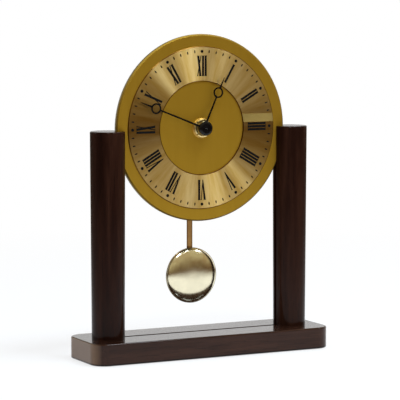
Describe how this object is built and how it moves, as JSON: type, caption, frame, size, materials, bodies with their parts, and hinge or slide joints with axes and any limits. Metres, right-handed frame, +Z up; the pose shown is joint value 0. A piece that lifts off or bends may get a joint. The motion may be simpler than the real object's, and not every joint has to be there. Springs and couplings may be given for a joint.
{
  "type": "desk pendulum clock",
  "caption": "Desk clock: a round gold dial held in grooves between two wooden posts on a wooden base, with a battery pendulum movement, hands and a swinging brass bob.",
  "frame": {"origin": "on the table under the middle of the base", "axes": "+X along the base to the right as seen from the front, +Y to the back, +Z up"},
  "size_m": [0.17, 0.048, 0.2076],
  "materials": {
    "dark_wood": "glossy dark stain",
    "light_wood": "raw",
    "black_felt": "felt",
    "gold_dial": "fine vertical brushing",
    "pale_gold": "spun",
    "bright_brass": "polished",
    "copper_strip": "satin",
    "black_hand": "satin black",
    "steel": "zinc plated",
    "black_plastic": "fine texture",
    "white_plastic": "moulded",
    "rubber": "matte",
    "copper_wire": "enamelled",
    "board": "solder mask",
    "magnet": "nickel plated",
    "cell_jacket": "printed sleeve"
  },
  "bodies": {
    "stand": {"base_plinth": "dark_wood", "left_post": "dark_wood", "right_post": "dark_wood", "post_screws": "steel", "post_dowels": "light_wood", "felt_pads": "black_felt", "dial_plate": "gold_dial", "chapter_ring": "pale_gold", "name_strip": "gold_dial", "dial_screws": "bright_brass", "dial_gasket": "rubber", "nut_washer": "bright_brass", "dial_nut": "bright_brass", "movement_case": "black_plastic", "back_cover": "black_plastic", "pendulum_cover": "black_plastic", "cover_screws": "steel", "centre_bush": "bright_brass", "middle_plate": "white_plastic", "stator": "steel", "motor_core": "steel", "coil_bobbin": "white_plastic", "coil_winding": "copper_wire", "circuit_board": "board", "quartz_crystal": "steel", "chip": "black_plastic", "positive_contact": "steel", "negative_contact": "steel", "pivot_pin": "steel", "drive_coil": "copper_wire"},
    "minute_work": {"minute_hand": "black_hand", "hand_cap": "black_hand", "minute_arbor": "steel"},
    "hour_work": {"hour_hand": "black_hand", "hour_wheel": "white_plastic"},
    "minute_wheel_work": {"minute_wheel": "white_plastic"},
    "setting_work": {"set_knob": "white_plastic"},
    "seconds_work": {"seconds_wheel": "white_plastic"},
    "intermediate_work": {"intermediate_wheel": "white_plastic"},
    "rotor_work": {"rotor": "white_plastic"},
    "third_work": {"third_wheel": "white_plastic"},
    "centre_work": {"centre_wheel": "white_plastic"},
    "pendulum": {"pendulum_hanger": "white_plastic", "hanger_magnet": "magnet", "pendulum_rod": "copper_strip", "bob_front_shell": "bright_brass", "bob_back_shell": "bright_brass", "bob_rivet": "bright_brass"},
    "cell": {"battery_cell": "cell_jacket"}
  },
  "joints": [
    {"name": "minute_turn", "type": "hinge", "parent": "stand", "child": "minute_work", "pos_m": [0, 0, 0.1471], "axis": [0, 1, 0], "continuous": true},
    {"name": "hour_turn", "type": "hinge", "parent": "stand", "child": "hour_work", "pos_m": [0, 0, 0.1471], "axis": [0, 1, 0], "continuous": true},
    {"name": "minute_wheel_turn", "type": "hinge", "parent": "stand", "child": "minute_wheel_work", "pos_m": [-0.006, 0, 0.15749], "axis": [0, 1, 0], "continuous": true},
    {"name": "set_knob_turn", "type": "hinge", "parent": "stand", "child": "setting_work", "pos_m": [-0.01869, 0, 0.15288], "axis": [0, 1, 0], "continuous": true},
    {"name": "seconds_wheel_turn", "type": "hinge", "parent": "stand", "child": "seconds_work", "pos_m": [0.00736, 0, 0.16035], "axis": [0, 1, 0], "continuous": true},
    {"name": "intermediate_wheel_turn", "type": "hinge", "parent": "stand", "child": "intermediate_work", "pos_m": [-0.00201, 0, 0.16035], "axis": [0, 1, 0], "continuous": true},
    {"name": "rotor_turn", "type": "hinge", "parent": "stand", "child": "rotor_work", "pos_m": [-0.01051, 0, 0.16035], "axis": [0, 1, 0], "continuous": true},
    {"name": "third_wheel_turn", "type": "hinge", "parent": "stand", "child": "third_work", "pos_m": [0.00736, 0, 0.15135], "axis": [0, 1, 0], "continuous": true},
    {"name": "centre_wheel_turn", "type": "hinge", "parent": "stand", "child": "centre_work", "pos_m": [0, 0, 0.1471], "axis": [0, 1, 0], "continuous": true},
    {"name": "pendulum_swing", "type": "hinge", "parent": "stand", "child": "pendulum", "pos_m": [0, 0.015, 0.1141], "axis": [0, 1, 0], "range_deg": [-5, 5]},
    {"name": "cell_out", "type": "slide", "parent": "stand", "child": "cell", "axis": [0, 1, 0], "range_m": [0, 0.02]}
  ],
  "couplings": [
    {"joint": "hour_turn", "follows": "minute_turn", "ratio": 0.083333},
    {"joint": "minute_wheel_turn", "follows": "minute_turn", "ratio": -0.33333},
    {"joint": "set_knob_turn", "follows": "minute_turn", "ratio": 0.66667},
    {"joint": "intermediate_wheel_turn", "follows": "seconds_wheel_turn", "ratio": -4},
    {"joint": "rotor_turn", "follows": "seconds_wheel_turn", "ratio": 30},
    {"joint": "third_wheel_turn", "follows": "seconds_wheel_turn", "ratio": -0.125},
    {"joint": "centre_wheel_turn", "follows": "seconds_wheel_turn", "ratio": 0.016667}
  ]
}
